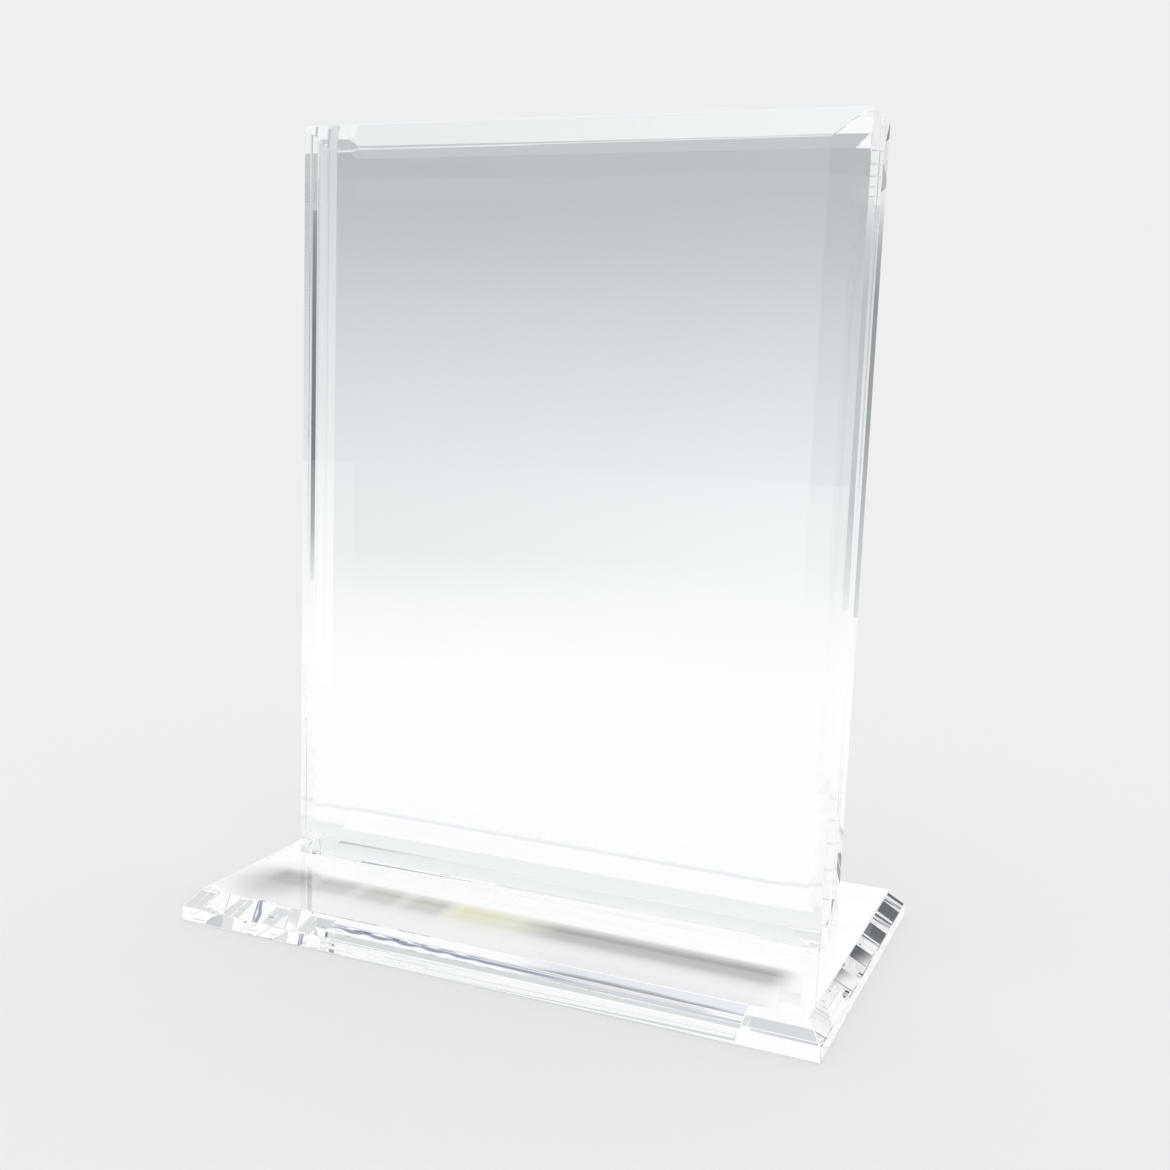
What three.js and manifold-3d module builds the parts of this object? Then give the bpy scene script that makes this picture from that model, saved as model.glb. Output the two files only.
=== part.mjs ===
// Clear acrylic card stand. Two plates with bevelled outer faces stand back to back in one slot of a
// bevelled base, and a card slips into the thin gap between them.
// Millimetres, +Z up, front towards -Y, origin at the middle of the base's underside.
import * as THREE from 'three';
import { mergeVertices } from 'three/addons/utils/BufferGeometryUtils.js';
import Module from 'manifold-3d';

const wasm = await Module();
wasm.setup();

// Card that the stand holds upright
const cardWidth = 105;
const cardSideMargin = 2.5;
const cardGap = 0.8;

// Plates
const plateWidth = cardWidth + 2 * cardSideMargin;
const plateHeight = 145.5;
const plateThickness = 8;
const plateEdgeThickness = 6.25;
const plateSideBevel = 6.5;
const plateEndBevel = 4.85;

// Base, with the ledge that it shows beyond the plates
const baseThickness = 6;
const baseEdgeHeight = 2.7;
const baseBevel = 2.8;
const baseSideLedge = 7.5;
const baseFrontLedge = 26.6;

// Tongue under each plate, set in from the plate's ends and from its outer face
const tongueEndShoulder = 12;
const tongueFrontShoulder = 2.25;
const slotFloor = 2.5;

// Fits
const seatGap = 0.2;
const slotClearance = 0.3;

// Sizes that follow from the ones above
const uprightThickness = 2 * plateThickness + cardGap;
const baseWidth = plateWidth + 2 * baseSideLedge;
const baseDepth = uprightThickness + 2 * baseFrontLedge;
const tongueLength = plateWidth - 2 * tongueEndShoulder;
const tongueThickness = plateEdgeThickness - tongueFrontShoulder;
const tongueDepth = baseThickness + seatGap - slotFloor - slotClearance;
const slotLength = tongueLength + 2 * slotClearance;
const slotWidth = 2 * tongueThickness + cardGap + 2 * slotClearance;
const slotDepth = baseThickness - slotFloor;

function toSolid(geometry) {
  geometry.deleteAttribute('normal');
  geometry.deleteAttribute('uv');
  const merged = mergeVertices(geometry);
  const vertProperties = new Float32Array(merged.attributes.position.array);
  const triVerts = new Uint32Array(merged.index.array);
  return new wasm.Manifold(new wasm.Mesh({ numProp: 3, vertProperties, triVerts }));
}

function toGeometry(solid) {
  const { vertProperties, triVerts } = solid.getMesh();
  const geometry = new THREE.BufferGeometry();
  geometry.setAttribute('position', new THREE.BufferAttribute(vertProperties, 3));
  geometry.setIndex(new THREE.BufferAttribute(triVerts, 1));
  geometry.computeVertexNormals();
  return geometry;
}

function boxSolid(width, depth, height, x, y, z) {
  return toSolid(new THREE.BoxGeometry(width, depth, height).translate(x, y, z));
}

// Section of a slab that lies on z = 0: upright edges below, one bevel on each side of the top face
function slabSection(width, edge, thickness, bevel) {
  const half = width / 2;
  const shape = new THREE.Shape();
  shape.moveTo(-half, 0);
  shape.lineTo(half, 0);
  shape.lineTo(half, edge);
  shape.lineTo(half - bevel, thickness);
  shape.lineTo(bevel - half, thickness);
  shape.lineTo(-half, edge);
  shape.closePath();
  return shape;
}

// Slab with all four top edges bevelled: where a run of its end section crosses a run of its side section,
// the bevels meet in mitred corners
function bevelledSlab(width, depth, edge, thickness, sideBevel, endBevel) {
  const acrossWidth = new THREE.ExtrudeGeometry(slabSection(width, edge, thickness, sideBevel), {
    depth,
    bevelEnabled: false,
  });
  acrossWidth.translate(0, 0, -depth / 2).rotateX(Math.PI / 2);
  const acrossDepth = new THREE.ExtrudeGeometry(slabSection(depth, edge, thickness, endBevel), {
    depth: width,
    bevelEnabled: false,
  });
  acrossDepth.translate(0, 0, -width / 2).rotateX(Math.PI / 2).rotateZ(Math.PI / 2);
  return toSolid(acrossWidth).intersect(toSolid(acrossDepth));
}

function clearAcrylic() {
  return new THREE.MeshStandardMaterial({
    color: 0xf3f7f6,
    roughness: 0.04,
    metalness: 0,
    transparent: true,
    opacity: 0.35,
    flatShading: true,
  });
}

function makeBase() {
  const slab = bevelledSlab(baseWidth, baseDepth, baseEdgeHeight, baseThickness, baseBevel, baseBevel);
  const slot = boxSolid(slotLength, slotWidth, 2 * slotDepth, 0, 0, baseThickness);
  const mesh = new THREE.Mesh(toGeometry(slab.subtract(slot)), clearAcrylic());
  mesh.name = 'base';
  return mesh;
}

// A plate lies on its inner face here, with its bevelled face up and its tongue towards -Y
function makePlate(name) {
  const slab = bevelledSlab(
    plateWidth, plateHeight, plateEdgeThickness, plateThickness, plateSideBevel, plateEndBevel,
  );
  const tongue = boxSolid(
    tongueLength, 2 * tongueDepth, tongueThickness,
    0, -plateHeight / 2, tongueThickness / 2,
  );
  const mesh = new THREE.Mesh(toGeometry(slab.add(tongue)), clearAcrylic());
  mesh.name = name;
  mesh.rotation.x = Math.PI / 2;
  mesh.position.set(0, -cardGap / 2, baseThickness + seatGap + plateHeight / 2);
  return mesh;
}

const backHalf = new THREE.Group();
backHalf.rotation.z = Math.PI;
backHalf.add(makePlate('back_plate'));

const cardStand = new THREE.Group();
cardStand.name = 'card_stand';
cardStand.add(makeBase(), makePlate('front_plate'), backHalf);

export default cardStand;
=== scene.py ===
"""Looks of the clear acrylic card stand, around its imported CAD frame. Metres, +Z up, front towards -Y."""
import math

import bpy
from mathutils import Matrix, Vector


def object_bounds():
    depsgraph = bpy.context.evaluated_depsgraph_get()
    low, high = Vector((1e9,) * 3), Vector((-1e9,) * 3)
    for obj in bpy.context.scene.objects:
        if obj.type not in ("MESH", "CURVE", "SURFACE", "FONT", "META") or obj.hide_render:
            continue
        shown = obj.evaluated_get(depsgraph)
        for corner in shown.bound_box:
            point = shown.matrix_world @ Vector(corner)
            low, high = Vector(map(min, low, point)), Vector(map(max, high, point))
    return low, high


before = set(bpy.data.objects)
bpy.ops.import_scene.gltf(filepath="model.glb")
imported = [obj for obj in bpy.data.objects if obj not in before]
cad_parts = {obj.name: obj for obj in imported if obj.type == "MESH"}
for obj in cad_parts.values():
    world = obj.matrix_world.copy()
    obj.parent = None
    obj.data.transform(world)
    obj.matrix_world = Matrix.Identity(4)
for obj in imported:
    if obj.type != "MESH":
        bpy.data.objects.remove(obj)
cad_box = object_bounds()

# Front and back edges of the base, which reaches further both ways than the plates
BASE_FRONT = cad_box[0][1]
BASE_BACK = cad_box[1][1]

# Plain values that several parts share
WHITE = (1.0, 1.0, 1.0, 1.0)
NO_TINT = (1.0, 1.0, 1.0)
MM_PER_METRE = 1000

# Camera, from a fit of the stand's edges to the photograph
CAMERA_AZIMUTH = 22.908
CAMERA_ELEVATION = 8.736
CAMERA_ROLL = 2.110
CAMERA_TARGET = Vector((0.004185, 0.0, 0.067060))
CAMERA_DISTANCE = 0.271320
CAMERA_LENS = 44.005
CAMERA_SENSOR = 36.0
CAMERA_CLIP = (0.01, 10.0)

# Long light paths, because light crosses up to six clear faces and is turned back inside the sheets
MOST_BOUNCES = 128
GLOSSY_BOUNCES = 64

# Polished arrises: every sharp edge of the sheet is eased a little
ARRIS_WIDTH = 0.00015
ARRIS_SEGMENTS = 2
ARRIS_ANGLE = 8.0
FLAT_ANGLE = 1.0
WELD_DISTANCE = 0.00001

# Acrylic: a faint tint, faint handling marks and a very slight waviness, each spread by its own noise
ACRYLIC_IOR = 1.49
NOISE_GRAIN = 0.5
ACRYLIC_TINT_SCALE = 40.0
ACRYLIC_TINT_DETAIL = 3.0
ACRYLIC_TINT_STOPS = ((0.3, (0.985, 0.993, 0.990, 1.0)), (0.7, (0.993, 0.997, 0.996, 1.0)))
SMUDGE_SCALE = 60.0
SMUDGE_DETAIL = 4.0
SMUDGE_GRAIN = 0.6
SMUDGE_SPAN = (0.45, 0.75)
SMUDGE_ROUGHNESS = 0.012
WAVINESS_SCALE = 120.0
WAVINESS_DETAIL = 1.0
WAVINESS_STRENGTH = 0.01
WAVINESS_HEIGHT = 0.00005

# What the camera sees behind the stand, and the even light on the table
BACKDROP_SEEN = 0.86
BACKDROP_COLOUR = (BACKDROP_SEEN, BACKDROP_SEEN, BACKDROP_SEEN, 1.0)
FILL_LEVEL = 0.95

# Table: a matt disc that turns to the backdrop's tone away from the stand
FLOOR_DROP = 0.00015
FLOOR_RADIUS = 1.20
FLOOR_SIDES = 96
FLOOR_COLOUR = (0.90, 0.905, 0.905, 1.0)
FLOOR_FADE = (0.07, 0.24)
NEAR_GLOW_SEEN = 0.60

# Table as the acrylic shows it: levels by millimetres from its middle, and where the side shade sets in
FLOOR_SPAN = (0, FLOOR_RADIUS * MM_PER_METRE)
FLOOR_LEVELS = ((240, 1.0), (280, 0.985), (550, 0.90), (1080, 0.86), (1200, 0.852))
FLOOR_SHADE_REACH = (0.26, 0.60)

# Shade of the upright painted on the table under the base: levels by millimetres towards the back
FOOT_LEVELS = ((-23, 1.0), (-21.2, 0.95), (-20, 0.86), (-18.9, 0.71), (-17.7, 0.48), (-16.5, 0.41),
               (-15.2, 0.38), (-14, 0.24), (-12.8, 0.39), (-11.5, 0.63), (-10.3, 1.0))
FOOT_SPAN = (-0.056, 0.051)
FOOT_EDGE = 0.003
FOOT_FRONT = (BASE_FRONT - 0.0015, BASE_FRONT + 0.0005)

# Share of that painted shade in each colour, by millimetres to the right: broken up and warmer to the left
FOOT_SHARES = ((-60, (0.76, 0.76, 0.78, 1.0)), (-17, (0.74, 0.74, 0.82, 1.0)),
               (-13, (0.38, 0.42, 0.80, 1.0)), (-1, (0.42, 0.42, 0.66, 1.0)), (8, WHITE), (60, WHITE))
GAP_PERIOD = 0.0105
GAP_PLACE = -0.0145
GAP_CREST = (0.2, 1.0)
GAP_SHARE = 0.72
GAP_LEFT_OF = (-0.012, -0.006)

# Painted shade: slightly darker table in front of that shade, and a wide soft patch of shade at its left
# end
BAND_DEPTH = (-0.022, -0.013)
BAND_LEVEL = 0.86
PATCH_CENTRE = (-0.0535, -0.0185, 0.0)
PATCH_REACH = (0.002, 0.013)
PATCH_LEVEL = 0.60

# Painted thin line of shade where the base's back edge meets the table, wavy to the left and fainter to the
# right
CONTACT_SPAN = (-0.060, 0.028)
CONTACT_SIDE_EDGE = 0.004
CONTACT_WIDTH = 0.0009
CONTACT_DEPTH = (BASE_BACK - CONTACT_WIDTH, BASE_BACK)
CONTACT_EDGE = 0.0002
CONTACT_COLOUR = (0.30, 0.32, 0.42, 1.0)
CONTACT_FADE = (-0.012, 0.004)
CONTACT_FADED = 0.5
CONTACT_WAVE_PERIOD = 0.0067
CONTACT_WAVE_PLACE = -0.0343
CONTACT_WAVE_HEIGHT = 0.00025
CONTACT_WAVE_LEFT_OF = (-0.030, -0.018)

# Tint of the grey levels, full where a level is well under white
COOL_TINT = (0.962, 1.0, 1.028)
TINT_GAIN = 6

# Studio as the acrylic shows it: levels by degrees above the horizon, azimuths from +Y towards +X
SKY_SPAN = (-90, 90)
BACK_LEVELS = ((-20, 0.90), (-13, 0.885), (-7.6, 0.90), (-4.5, 0.86), (-1.4, 0.795), (1.75, 0.71),
               (4.4, 0.618), (7, 0.552), (9, 0.52), (11, 0.62), (14, 0.80), (18, 1.04), (30, 1.04),
               (48, 0.66), (75, 1.3))
BACK_AZIMUTHS = (-82.0, 82.0)
ROOM_LEVELS = ((-12, 0.97), (-8, 0.88), (-5, 0.82), (-1, 0.64), (4, 0.52), (9, 0.50), (14, 0.70),
               (24, 0.92), (48, 0.76), (75, 1.3))
SIDE_LEVELS = ((-9, 1.0), (-4, 0.70), (-1, 0.54), (2, 0.58), (4, 0.78), (7, 1.0), (24, 0.95), (48, 0.76))
SIDE_AZIMUTHS = (-131.0, -83.0)
CRISP_EDGE = 0.5
SOFT_EDGE = 4.0

# Shade of the backdrop and of the far table, which are lighter to the right
SIDE_SHADE_AZIMUTHS = (-42.0, 0.0)
SIDE_SHADE_LEVELS = (0.94, 1.06)

# Dim things in the studio: a dark flag to the left, the camera's dark side, and a grey screen to the right
FLAG_AZIMUTHS = (-78.0, -50.0)
FLAG_ELEVATIONS = (12.0, 28.6)
FLAG_COLOUR = (0.060, 0.068, 0.085, 1.0)
CAMERA_SIDE_AZIMUTHS = (142.0, 172.0)
CAMERA_SIDE_ELEVATIONS = (-9.0, 16.0)
CAMERA_SIDE_COLOUR = (0.050, 0.052, 0.055, 1.0)
SCREEN_AZIMUTHS = (28.0, 62.0)
SCREEN_ELEVATIONS = (14.0, 40.0)
SCREEN_COLOUR = (0.74, 0.75, 0.76, 1.0)
DIM_THINGS = (
    (FLAG_AZIMUTHS, FLAG_ELEVATIONS, CRISP_EDGE, FLAG_COLOUR),
    (CAMERA_SIDE_AZIMUTHS, CAMERA_SIDE_ELEVATIONS, SOFT_EDGE, CAMERA_SIDE_COLOUR),
    (SCREEN_AZIMUTHS, SCREEN_ELEVATIONS, CRISP_EDGE, SCREEN_COLOUR),
)

# Sloping grey bar that hangs behind the stand: levels by degrees above its own line
BAR_AZIMUTHS = (-24.5, -8.0)
BAR_EDGE = 1.5
BAR_ELEVATION = 27.49
BAR_SLOPE = 0.15
BAR_LEVELS = ((-0.9, 1.0), (-0.6, 0.82), (-0.12, 0.81), (-0.03, 0.32), (0.04, 0.38), (0.12, 0.56),
              (0.36, 0.64), (0.44, 1.0))
BAR_TINT = (0.955, 0.978, 1.055)

# Upright studio cards that only the acrylic shows: two ends in plan, and levels by millimetres of height
LOW_CARD_ENDS = ((-0.075, 0.020), (0.065, 0.020))
LOW_CARD_LEVELS = ((6.1, 1.02), (9.4, 1.02), (9.7, 0.89), (10.3, 0.89))
FOOT_CARD_ENDS = ((-0.070, 0.012), (0.056, 0.012))
FOOT_CARD_LEVELS = ((6.1, 0.94), (9.0, 0.91))
HIGH_CARD_ENDS = ((-0.09, 0.048), (0.05, 0.048))
HIGH_CARD_LEVELS = ((143.4, 0.563), (148.0, 0.563))
TOP_CARD_ENDS = ((0.02, 0.020), (0.0485, 0.020))
TOP_CARD_LEVELS = ((148.65, 1.04), (153, 1.04))
CORNER_CARD_ENDS = ((-0.0534, 0.0086), (-0.0496, 0.0086))
CORNER_CARD_LEVELS = ((148.1, 0.95), (152, 0.95))
LEFT_CARD_ENDS = ((-0.0552, 0.0085), (-0.0534, 0.0085))
LEFT_CARD_LEVELS = ((40, 1.03), (68, 1.0), (95, 0.90), (113, 0.85), (129, 0.79), (146, 0.74), (152, 0.74))
STRIP_CARD_ENDS = ((0.0738, 0.200), (0.0775, 0.200))
STRIP_CARD_LEVELS = ((26, 0.85), (45, 0.40), (72, 0.19), (117, 0.19), (147, 0.28), (159, 0.36))
DARK_SIDE_CARD_ENDS = ((-0.36, -0.089), (-0.36, -0.080))
DARK_SIDE_CARD_LEVELS = ((0, 0.62), (17, 0.46), (52, 0.285), (88, 0.11), (142, 0.10), (165, 0.38),
                         (182, 0.84), (190, 0.98))
GREY_SIDE_CARD_ENDS = ((-0.36, -0.16), (-0.36, -0.089))
GREY_SIDE_CARD_LEVELS = ((0, 0.85), (11, 0.69), (48, 0.40), (87, 0.42), (142, 0.44), (169, 0.60),
                         (187, 0.93))
CARDS = (
    ("low_card", LOW_CARD_ENDS, LOW_CARD_LEVELS),
    ("foot_card", FOOT_CARD_ENDS, FOOT_CARD_LEVELS),
    ("high_card", HIGH_CARD_ENDS, HIGH_CARD_LEVELS),
    ("top_card", TOP_CARD_ENDS, TOP_CARD_LEVELS),
    ("corner_card", CORNER_CARD_ENDS, CORNER_CARD_LEVELS),
    ("left_card", LEFT_CARD_ENDS, LEFT_CARD_LEVELS),
    ("strip_card", STRIP_CARD_ENDS, STRIP_CARD_LEVELS),
    ("dark_side_card", DARK_SIDE_CARD_ENDS, DARK_SIDE_CARD_LEVELS),
    ("grey_side_card", GREY_SIDE_CARD_ENDS, GREY_SIDE_CARD_LEVELS),
)


def add_object(name, data):
    item = bpy.data.objects.new(name, data)
    bpy.context.scene.collection.objects.link(item)
    return item


def bare_material(name):
    """A material that has no shader yet, and its node tree."""
    material = bpy.data.materials.new(name)
    material.use_nodes = True
    tree = material.node_tree
    tree.nodes.remove(tree.nodes["Principled BSDF"])
    return material, tree


def add_node(tree, kind, **settings):
    node = tree.nodes.new(kind)
    for name, value in settings.items():
        setattr(node, name, value)
    return node


def feed(tree, socket, value):
    """Links a socket to another, or sets its plain value."""
    if isinstance(value, bpy.types.NodeSocket):
        tree.links.new(value, socket)
    else:
        socket.default_value = value


def compute(tree, operation, *values, clamp=False):
    node = add_node(tree, "ShaderNodeMath", operation=operation, use_clamp=clamp)
    for socket, value in zip(node.inputs, values):
        feed(tree, socket, value)
    return node.outputs["Value"]


def compute_vector(tree, operation, *values, result="Vector"):
    node = add_node(tree, "ShaderNodeVectorMath", operation=operation)
    for socket, value in zip(node.inputs, values):
        feed(tree, socket, value)
    return node.outputs[result]


def split_axes(tree, vector):
    node = add_node(tree, "ShaderNodeSeparateXYZ")
    tree.links.new(vector, node.inputs["Vector"])
    return node.outputs["X"], node.outputs["Y"], node.outputs["Z"]


def object_place(tree):
    return add_node(tree, "ShaderNodeTexCoord").outputs["Object"]


def acrylic_ray(tree, path):
    """One for light that the acrylic mirrors or lets through, nothing for other light."""
    mirrored = path.outputs["Is Glossy Ray"]
    let_through = path.outputs["Is Transmission Ray"]
    return compute(tree, "ADD", mirrored, let_through, clamp=True)


def map_range(tree, value, low, high, low_to, high_to):
    node = add_node(tree, "ShaderNodeMapRange", interpolation_type="SMOOTHSTEP")
    for name, number in (("From Min", low), ("From Max", high), ("To Min", low_to), ("To Max", high_to)):
        node.inputs[name].default_value = number
    tree.links.new(value, node.inputs["Value"])
    return node.outputs["Result"]


def window(tree, value, span, edge):
    """One between the span's two ends, nothing outside."""
    low, high = span
    rise = map_range(tree, value, low - edge, low + edge, 0.0, 1.0)
    fall = map_range(tree, value, high - edge, high + edge, 1.0, 0.0)
    return compute(tree, "MULTIPLY", rise, fall)


def even_wave(tree, across, period, place):
    """A wave across the table with a crest at one place and at even steps from it."""
    turn = 2 * math.pi / period
    return compute(tree, "COSINE", compute(tree, "MULTIPLY_ADD", across, turn, -place * turn))


def colour_ramp(tree, factor, stops):
    """A colour ramp with a stop for each (position, colour), in rising order."""
    node = add_node(tree, "ShaderNodeValToRGB")
    tree.links.new(factor, node.inputs["Fac"])
    elements = node.color_ramp.elements
    elements[0].position, elements[0].color = stops[0]
    elements[1].position, elements[1].color = stops[-1]
    for position, colour in stops[1:-1]:
        elements.new(position).color = colour
    return node.outputs["Color"]


def span_of(stops):
    """The places of the first and the last stop."""
    return stops[0][0], stops[-1][0]


def span_ramp(tree, value, stops, span, unit=1):
    """A colour ramp by a value, with stops at places along a span. Value times unit is a place there."""
    low, high = span
    factor = compute(tree, "MULTIPLY_ADD", value, unit / (high - low), -low / (high - low))
    shares = [((place - low) / (high - low), colour) for place, colour in stops]
    return colour_ramp(tree, factor, shares)


def level_ramp(tree, value, levels, span, unit=1, tint=COOL_TINT):
    """Grey levels along a span, the darker ones with more of the tint."""
    stops = []
    for place, level in levels:
        share = min(1.0, max(0.0, TINT_GAIN * (1.0 - level)))
        colour = [level * (1 + (channel - 1) * share) for channel in tint]
        stops.append((place, (*colour, 1.0)))
    return span_ramp(tree, value, stops, span, unit)


def mix_colour(tree, factor, first, second):
    node = add_node(tree, "ShaderNodeMixRGB")
    for name, value in (("Fac", factor), ("Color1", first), ("Color2", second)):
        feed(tree, node.inputs[name], value)
    return node.outputs["Color"]


def mix_shader(tree, factor, first, second):
    node = add_node(tree, "ShaderNodeMixShader")
    feed(tree, node.inputs["Fac"], factor)
    tree.links.new(first, node.inputs[1])
    tree.links.new(second, node.inputs[2])
    return node.outputs["Shader"]


def noise(tree, coordinates, scale, detail, grain=NOISE_GRAIN):
    node = add_node(tree, "ShaderNodeTexNoise")
    tree.links.new(coordinates, node.inputs["Vector"])
    node.inputs["Scale"].default_value = scale
    node.inputs["Detail"].default_value = detail
    node.inputs["Roughness"].default_value = grain
    return node.outputs["Fac"]


def make_acrylic(name):
    """Clear cast acrylic, polished all over, with faint marks from handling."""
    material = bpy.data.materials.new(name)
    material.use_nodes = True
    tree = material.node_tree
    shader = tree.nodes["Principled BSDF"]
    shader.inputs["Transmission Weight"].default_value = 1.0
    shader.inputs["IOR"].default_value = ACRYLIC_IOR

    place = object_place(tree)
    tint = noise(tree, place, ACRYLIC_TINT_SCALE, ACRYLIC_TINT_DETAIL)
    tree.links.new(colour_ramp(tree, tint, ACRYLIC_TINT_STOPS), shader.inputs["Base Color"])
    smudge = noise(tree, place, SMUDGE_SCALE, SMUDGE_DETAIL, SMUDGE_GRAIN)
    roughness = map_range(tree, smudge, *SMUDGE_SPAN, 0.0, SMUDGE_ROUGHNESS)
    tree.links.new(roughness, shader.inputs["Roughness"])

    bump = add_node(tree, "ShaderNodeBump")
    bump.inputs["Strength"].default_value = WAVINESS_STRENGTH
    bump.inputs["Distance"].default_value = WAVINESS_HEIGHT
    tree.links.new(noise(tree, place, WAVINESS_SCALE, WAVINESS_DETAIL), bump.inputs["Height"])
    tree.links.new(bump.outputs["Normal"], shader.inputs["Normal"])
    return material


def dress(node_name, material):
    """Eased edges and a finish for one CAD node."""
    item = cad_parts[node_name]
    weld = item.modifiers.new("weld", "WELD")
    weld.merge_threshold = WELD_DISTANCE
    flats = item.modifiers.new("flats", "DECIMATE")
    flats.decimate_type = "DISSOLVE"
    flats.angle_limit = math.radians(FLAT_ANGLE)
    arris = item.modifiers.new("arris", "BEVEL")
    arris.width = ARRIS_WIDTH
    arris.segments = ARRIS_SEGMENTS
    arris.limit_method = "ANGLE"
    arris.angle_limit = math.radians(ARRIS_ANGLE)
    crisp = item.modifiers.new("crisp", "EDGE_SPLIT")
    crisp.split_angle = math.radians(FLAT_ANGLE)
    item.data.materials.clear()
    item.data.materials.append(material)


def make_floor():
    mesh = bpy.data.meshes.new("floor")
    points = []
    for index in range(FLOOR_SIDES):
        angle = 2 * math.pi * index / FLOOR_SIDES
        points.append((FLOOR_RADIUS * math.cos(angle), FLOOR_RADIUS * math.sin(angle), -FLOOR_DROP))
    mesh.from_pydata(points, [], [tuple(range(FLOOR_SIDES))])
    mesh.materials.append(floor_material())
    floor = add_object("floor", mesh)


def floor_material():
    """Matt white table: it keeps the stand's shadow and turns to the backdrop's tone away from it."""
    material, tree = bare_material("floor_white")
    matt = add_node(tree, "ShaderNodeBsdfDiffuse")
    matt.inputs["Color"].default_value = FLOOR_COLOUR
    place = object_place(tree)
    across, along, _ = split_axes(tree, place)
    reach = compute_vector(tree, "LENGTH", place, result="Value")

    distance = map_range(tree, reach, *FLOOR_SHADE_REACH, 0.0, 1.0)
    change = compute(tree, "SUBTRACT", side_shade(tree, across, along), 1.0)
    shade = compute(tree, "MULTIPLY_ADD", distance, change, 1.0)
    tone = level_ramp(tree, reach, FLOOR_LEVELS, FLOOR_SPAN, MM_PER_METRE)
    tone = compute_vector(tree, "MULTIPLY", tone, shade)
    # Painted shade under the base, which only the acrylic shows
    tone = compute_vector(tree, "MULTIPLY", tone, foot_shade(tree, place, across, along))
    path = add_node(tree, "ShaderNodeLightPath")
    camera_ray = path.outputs["Is Camera Ray"]
    glow = add_node(tree, "ShaderNodeEmission")
    tree.links.new(mix_colour(tree, camera_ray, tone, BACKDROP_COLOUR), glow.inputs["Color"])

    near_seen = map_range(tree, reach, *FLOOR_FADE, NEAR_GLOW_SEEN, 1.0)
    share = compute(tree, "MULTIPLY_ADD", near_seen, camera_ray, acrylic_ray(tree, path))
    surface = mix_shader(tree, share, matt.outputs["BSDF"], glow.outputs["Emission"])
    tree.links.new(surface, tree.nodes["Material Output"].inputs["Surface"])
    return material


def foot_shade(tree, place, across, along):
    """Shade painted on the table: the upright's, a soft patch at its left end and a thin line at the back
    edge.
    """
    under = compute(
        tree, "MULTIPLY",
        window(tree, across, FOOT_SPAN, FOOT_EDGE),
        map_range(tree, along, *FOOT_FRONT, 0.0, 1.0),
    )
    shade = mix_colour(tree, under, WHITE, upright_shade(tree, across, along))
    reach = compute_vector(tree, "DISTANCE", place, PATCH_CENTRE, result="Value")
    shade = compute_vector(tree, "MULTIPLY", shade, map_range(tree, reach, *PATCH_REACH, PATCH_LEVEL, 1.0))
    return mix_colour(tree, contact_line(tree, across, along), shade, CONTACT_COLOUR)


def upright_shade(tree, across, along):
    """The upright's painted soft shade, broken up to the left, with the painted, slightly darker table in
    front of it.
    """
    tone = level_ramp(tree, along, FOOT_LEVELS, span_of(FOOT_LEVELS), MM_PER_METRE, NO_TINT)
    share = span_ramp(tree, across, FOOT_SHARES, span_of(FOOT_SHARES), MM_PER_METRE)
    share = compute_vector(tree, "MULTIPLY", share, foot_gaps(tree, across))
    missing = compute_vector(tree, "SUBTRACT", NO_TINT, tone)
    missing = compute_vector(tree, "MULTIPLY", share, missing)
    shade = compute_vector(tree, "SUBTRACT", NO_TINT, missing)
    return compute_vector(tree, "MULTIPLY", shade, map_range(tree, along, *BAND_DEPTH, BAND_LEVEL, 1.0))


def foot_gaps(tree, across):
    """Less shade at even steps along the left part."""
    wave = even_wave(tree, across, GAP_PERIOD, GAP_PLACE)
    lost = map_range(tree, wave, *GAP_CREST, 0.0, 1.0 - GAP_SHARE)
    left = map_range(tree, across, *GAP_LEFT_OF, 1.0, 0.0)
    return compute(tree, "SUBTRACT", 1.0, compute(tree, "MULTIPLY", lost, left))


def contact_line(tree, across, along):
    """Strength of the painted thin line of shade under the base's back edge, which is nothing beside the
    line.
    """
    wave = even_wave(tree, across, CONTACT_WAVE_PERIOD, CONTACT_WAVE_PLACE)
    height = map_range(tree, across, *CONTACT_WAVE_LEFT_OF, CONTACT_WAVE_HEIGHT, 0.0)
    depth = compute(tree, "MULTIPLY_ADD", wave, height, along)
    line = compute(
        tree, "MULTIPLY",
        window(tree, across, CONTACT_SPAN, CONTACT_SIDE_EDGE),
        window(tree, depth, CONTACT_DEPTH, CONTACT_EDGE),
    )
    return compute(tree, "MULTIPLY", line, map_range(tree, across, *CONTACT_FADE, 1.0, CONTACT_FADED))


def side_shade(tree, across, along):
    """A little darker to the left and a little lighter to the right."""
    turn = compute(tree, "SINE", compute(tree, "ARCTAN2", across, along))
    low, high = (math.sin(math.radians(azimuth)) for azimuth in SIDE_SHADE_AZIMUTHS)
    return map_range(tree, turn, low, high, *SIDE_SHADE_LEVELS)


def make_card(name, ends, levels):
    """An upright card of graded tone that the acrylic shows and the camera doesn't."""
    start, end = ends
    bottom, top = (place / MM_PER_METRE for place in span_of(levels))
    mesh = bpy.data.meshes.new(name)
    points = [(*start, bottom), (*end, bottom), (*end, top), (*start, top)]
    mesh.from_pydata(points, [], [(0, 1, 2, 3)])
    mesh.materials.append(card_material(name, levels))
    card = add_object(name, mesh)
    card.visible_camera = False
    card.visible_diffuse = False
    card.visible_shadow = False


def card_material(name, levels):
    """A glow whose level goes by height alone."""
    material, tree = bare_material(name)
    _, _, height = split_axes(tree, object_place(tree))
    tone = level_ramp(tree, height, levels, span_of(levels), MM_PER_METRE)
    glow = add_node(tree, "ShaderNodeEmission")
    tree.links.new(tone, glow.inputs["Color"])
    tree.links.new(glow.outputs["Emission"], tree.nodes["Material Output"].inputs["Surface"])
    return material


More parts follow.
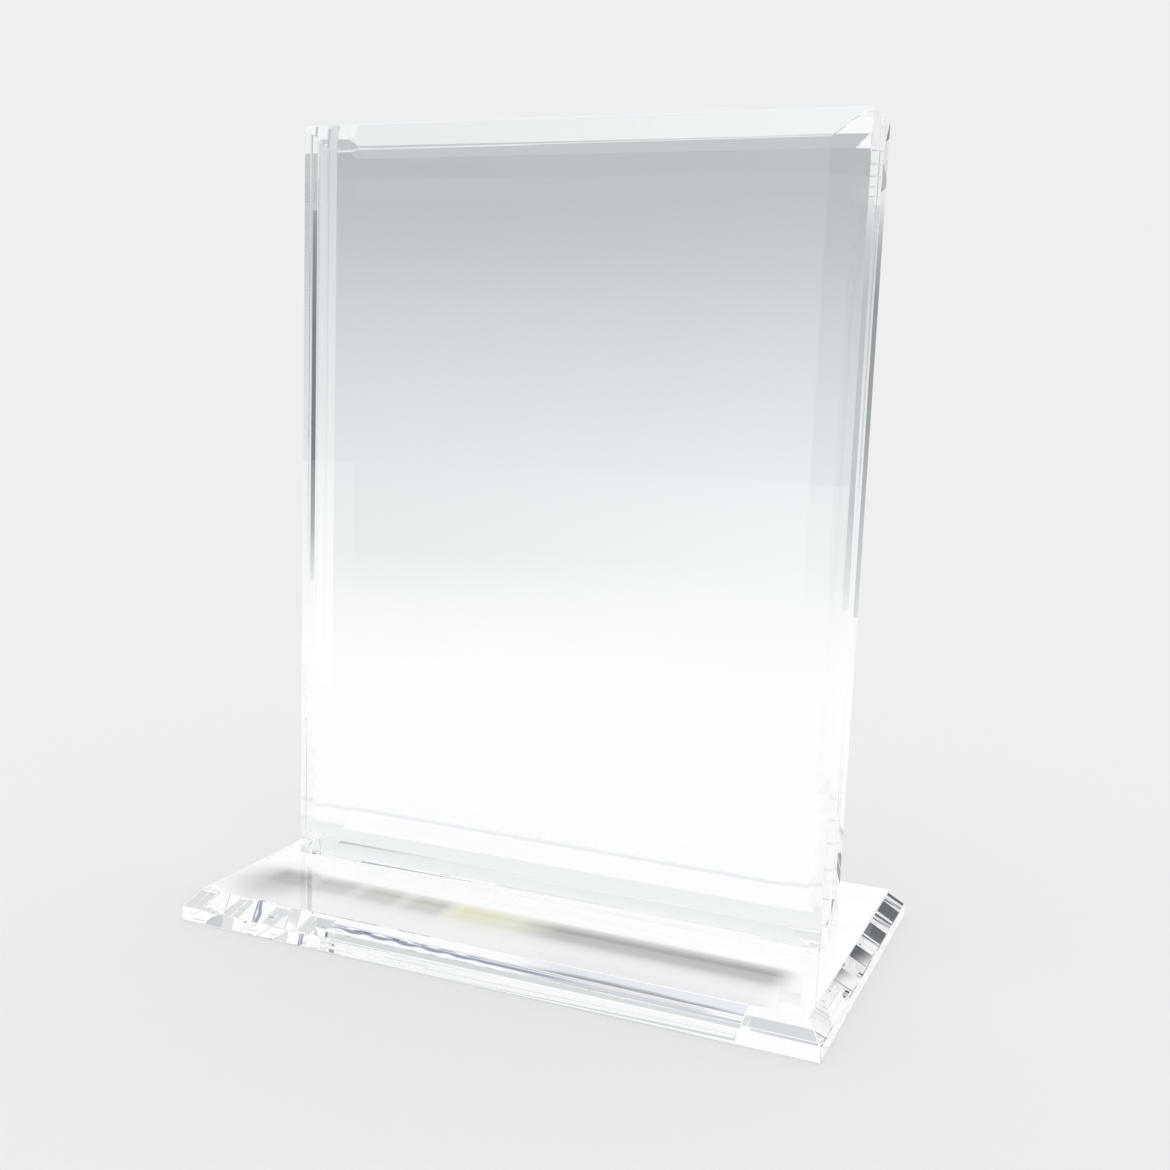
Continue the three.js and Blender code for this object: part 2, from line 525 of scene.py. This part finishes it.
def studio_colour(tree):
    """A graded backdrop behind, a grey room in front, a paler side to the left, and dim things in it."""
    direction = add_node(tree, "ShaderNodeTexCoord").outputs["Generated"]
    across, along, up = split_axes(tree, direction)
    elevation = compute(tree, "DEGREES", compute(tree, "ARCSINE", up))
    azimuth = compute(tree, "DEGREES", compute(tree, "ARCTAN2", across, along))

    back = level_ramp(tree, elevation, BACK_LEVELS, SKY_SPAN)
    back = compute_vector(tree, "MULTIPLY", back, side_shade(tree, across, along))
    room = level_ramp(tree, elevation, ROOM_LEVELS, SKY_SPAN)
    side = level_ramp(tree, elevation, SIDE_LEVELS, SKY_SPAN)
    colour = mix_colour(tree, window(tree, azimuth, BACK_AZIMUTHS, SOFT_EDGE), room, back)
    colour = mix_colour(tree, window(tree, azimuth, SIDE_AZIMUTHS, SOFT_EDGE), colour, side)
    colour = compute_vector(tree, "MULTIPLY", colour, hanging_bar(tree, azimuth, elevation))
    for azimuths, elevations, edge, tone in DIM_THINGS:
        share = compute(
            tree, "MULTIPLY",
            window(tree, azimuth, azimuths, edge),
            window(tree, elevation, elevations, edge),
        )
        colour = mix_colour(tree, share, colour, tone)
    return colour


def hanging_bar(tree, azimuth, elevation):
    """A thin sloping grey bar high behind the stand, which the base's front bevel shows."""
    line = compute(tree, "MULTIPLY_ADD", azimuth, BAR_SLOPE, BAR_ELEVATION)
    above = compute(tree, "SUBTRACT", elevation, line)
    tone = level_ramp(tree, above, BAR_LEVELS, span_of(BAR_LEVELS), tint=BAR_TINT)
    return mix_colour(tree, window(tree, azimuth, BAR_AZIMUTHS, BAR_EDGE), WHITE, tone)


def make_world():
    """Plain pale backdrop for the camera, the studio for the acrylic, and even fill light for the rest."""
    world = bpy.data.worlds.new("studio")
    bpy.context.scene.world = world
    world.use_nodes = True
    tree = world.node_tree
    plain = tree.nodes["Background"]
    plain.inputs["Color"].default_value = BACKDROP_COLOUR
    studio = add_node(tree, "ShaderNodeBackground")
    tree.links.new(studio_colour(tree), studio.inputs["Color"])
    fill = add_node(tree, "ShaderNodeBackground")
    fill.inputs["Color"].default_value = WHITE
    fill.inputs["Strength"].default_value = FILL_LEVEL
    path = add_node(tree, "ShaderNodeLightPath")
    for_acrylic = acrylic_ray(tree, path)
    lit = mix_shader(tree, for_acrylic, fill.outputs["Background"], studio.outputs["Background"])
    shown = mix_shader(tree, path.outputs["Is Camera Ray"], lit, plain.outputs["Background"])
    tree.links.new(shown, tree.nodes["World Output"].inputs["Surface"])


def make_camera():
    azimuth = math.radians(CAMERA_AZIMUTH)
    elevation = math.radians(CAMERA_ELEVATION)
    roll = math.radians(CAMERA_ROLL)
    back = Vector((
        math.sin(azimuth) * math.cos(elevation),
        -math.cos(azimuth) * math.cos(elevation),
        math.sin(elevation),
    ))
    right = Vector((math.cos(azimuth), math.sin(azimuth), 0.0))
    up = back.cross(right)
    rolled_right = right * math.cos(roll) + up * math.sin(roll)
    rolled_up = up * math.cos(roll) - right * math.sin(roll)
    turn = Matrix((rolled_right, rolled_up, back)).transposed().to_4x4()
    data = bpy.data.cameras.new("camera")
    data.sensor_width = CAMERA_SENSOR
    data.lens = CAMERA_LENS
    data.clip_start, data.clip_end = CAMERA_CLIP
    camera = add_object("camera", data)
    camera.matrix_world = Matrix.Translation(CAMERA_TARGET + back * CAMERA_DISTANCE) @ turn
    bpy.context.scene.camera = camera


def set_light_paths():
    cycles = bpy.context.scene.cycles
    cycles.max_bounces = MOST_BOUNCES
    cycles.transmission_bounces = MOST_BOUNCES
    cycles.glossy_bounces = GLOSSY_BOUNCES


bpy.context.scene.view_settings.view_transform = "Standard"
set_light_paths()
make_camera()
make_world()
make_floor()
for card_name, card_ends, card_levels in CARDS:
    make_card(card_name, card_ends, card_levels)
for node_name in ("base", "front_plate", "back_plate"):
    dress(node_name, make_acrylic(node_name + "_acrylic"))
